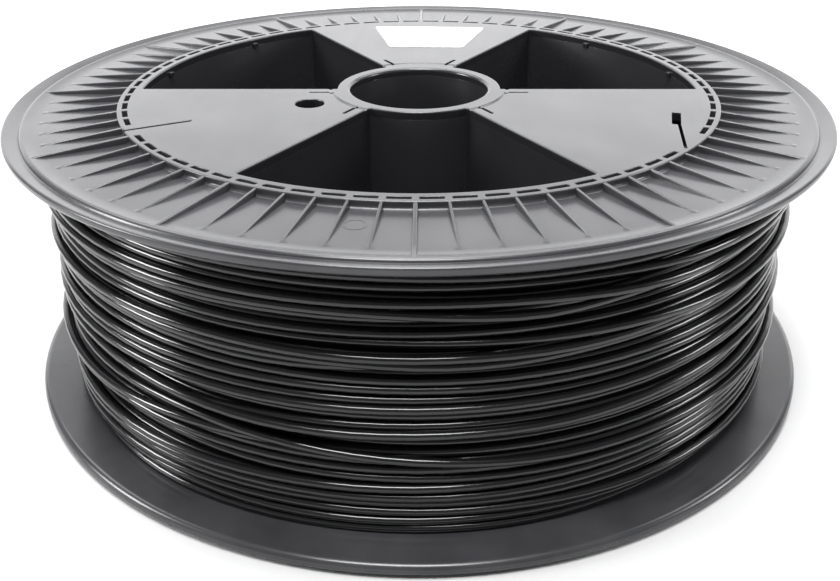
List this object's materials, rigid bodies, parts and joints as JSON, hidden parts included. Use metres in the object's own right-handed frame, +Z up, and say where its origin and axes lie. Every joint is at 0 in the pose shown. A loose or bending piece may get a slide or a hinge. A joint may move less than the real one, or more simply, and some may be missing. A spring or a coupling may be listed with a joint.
{
  "type": "filament spool",
  "caption": "Large 3D printer filament spool: ribbed flanges with open hub sectors on a hollow core, wound full of thick filament.",
  "frame": {"origin": "on the spindle axis, in the plane that the bottom hub face rests on", "axes": "+Z up along the spindle axis, towards the labelled flange; -Y towards the open hub sector that lies between the driving hole and the keyhole"},
  "size_m": [0.3, 0.3, 0.1032],
  "materials": {
    "reel": "satin black injection-moulded plastic",
    "filament": "glossy black extruded filament",
    "label": "matt white paper sticker, blank"
  },
  "bodies": {
    "root": {"flange_top": "reel", "flange_bottom": "reel", "winding_drum": "reel", "bore_tube": "reel", "radial_web_1": "reel", "radial_web_2": "reel", "radial_web_3": "reel", "radial_web_4": "reel", "radial_web_5": "reel", "radial_web_6": "reel", "filament_winding": "filament", "label": "label"}
  },
  "joints": []
}
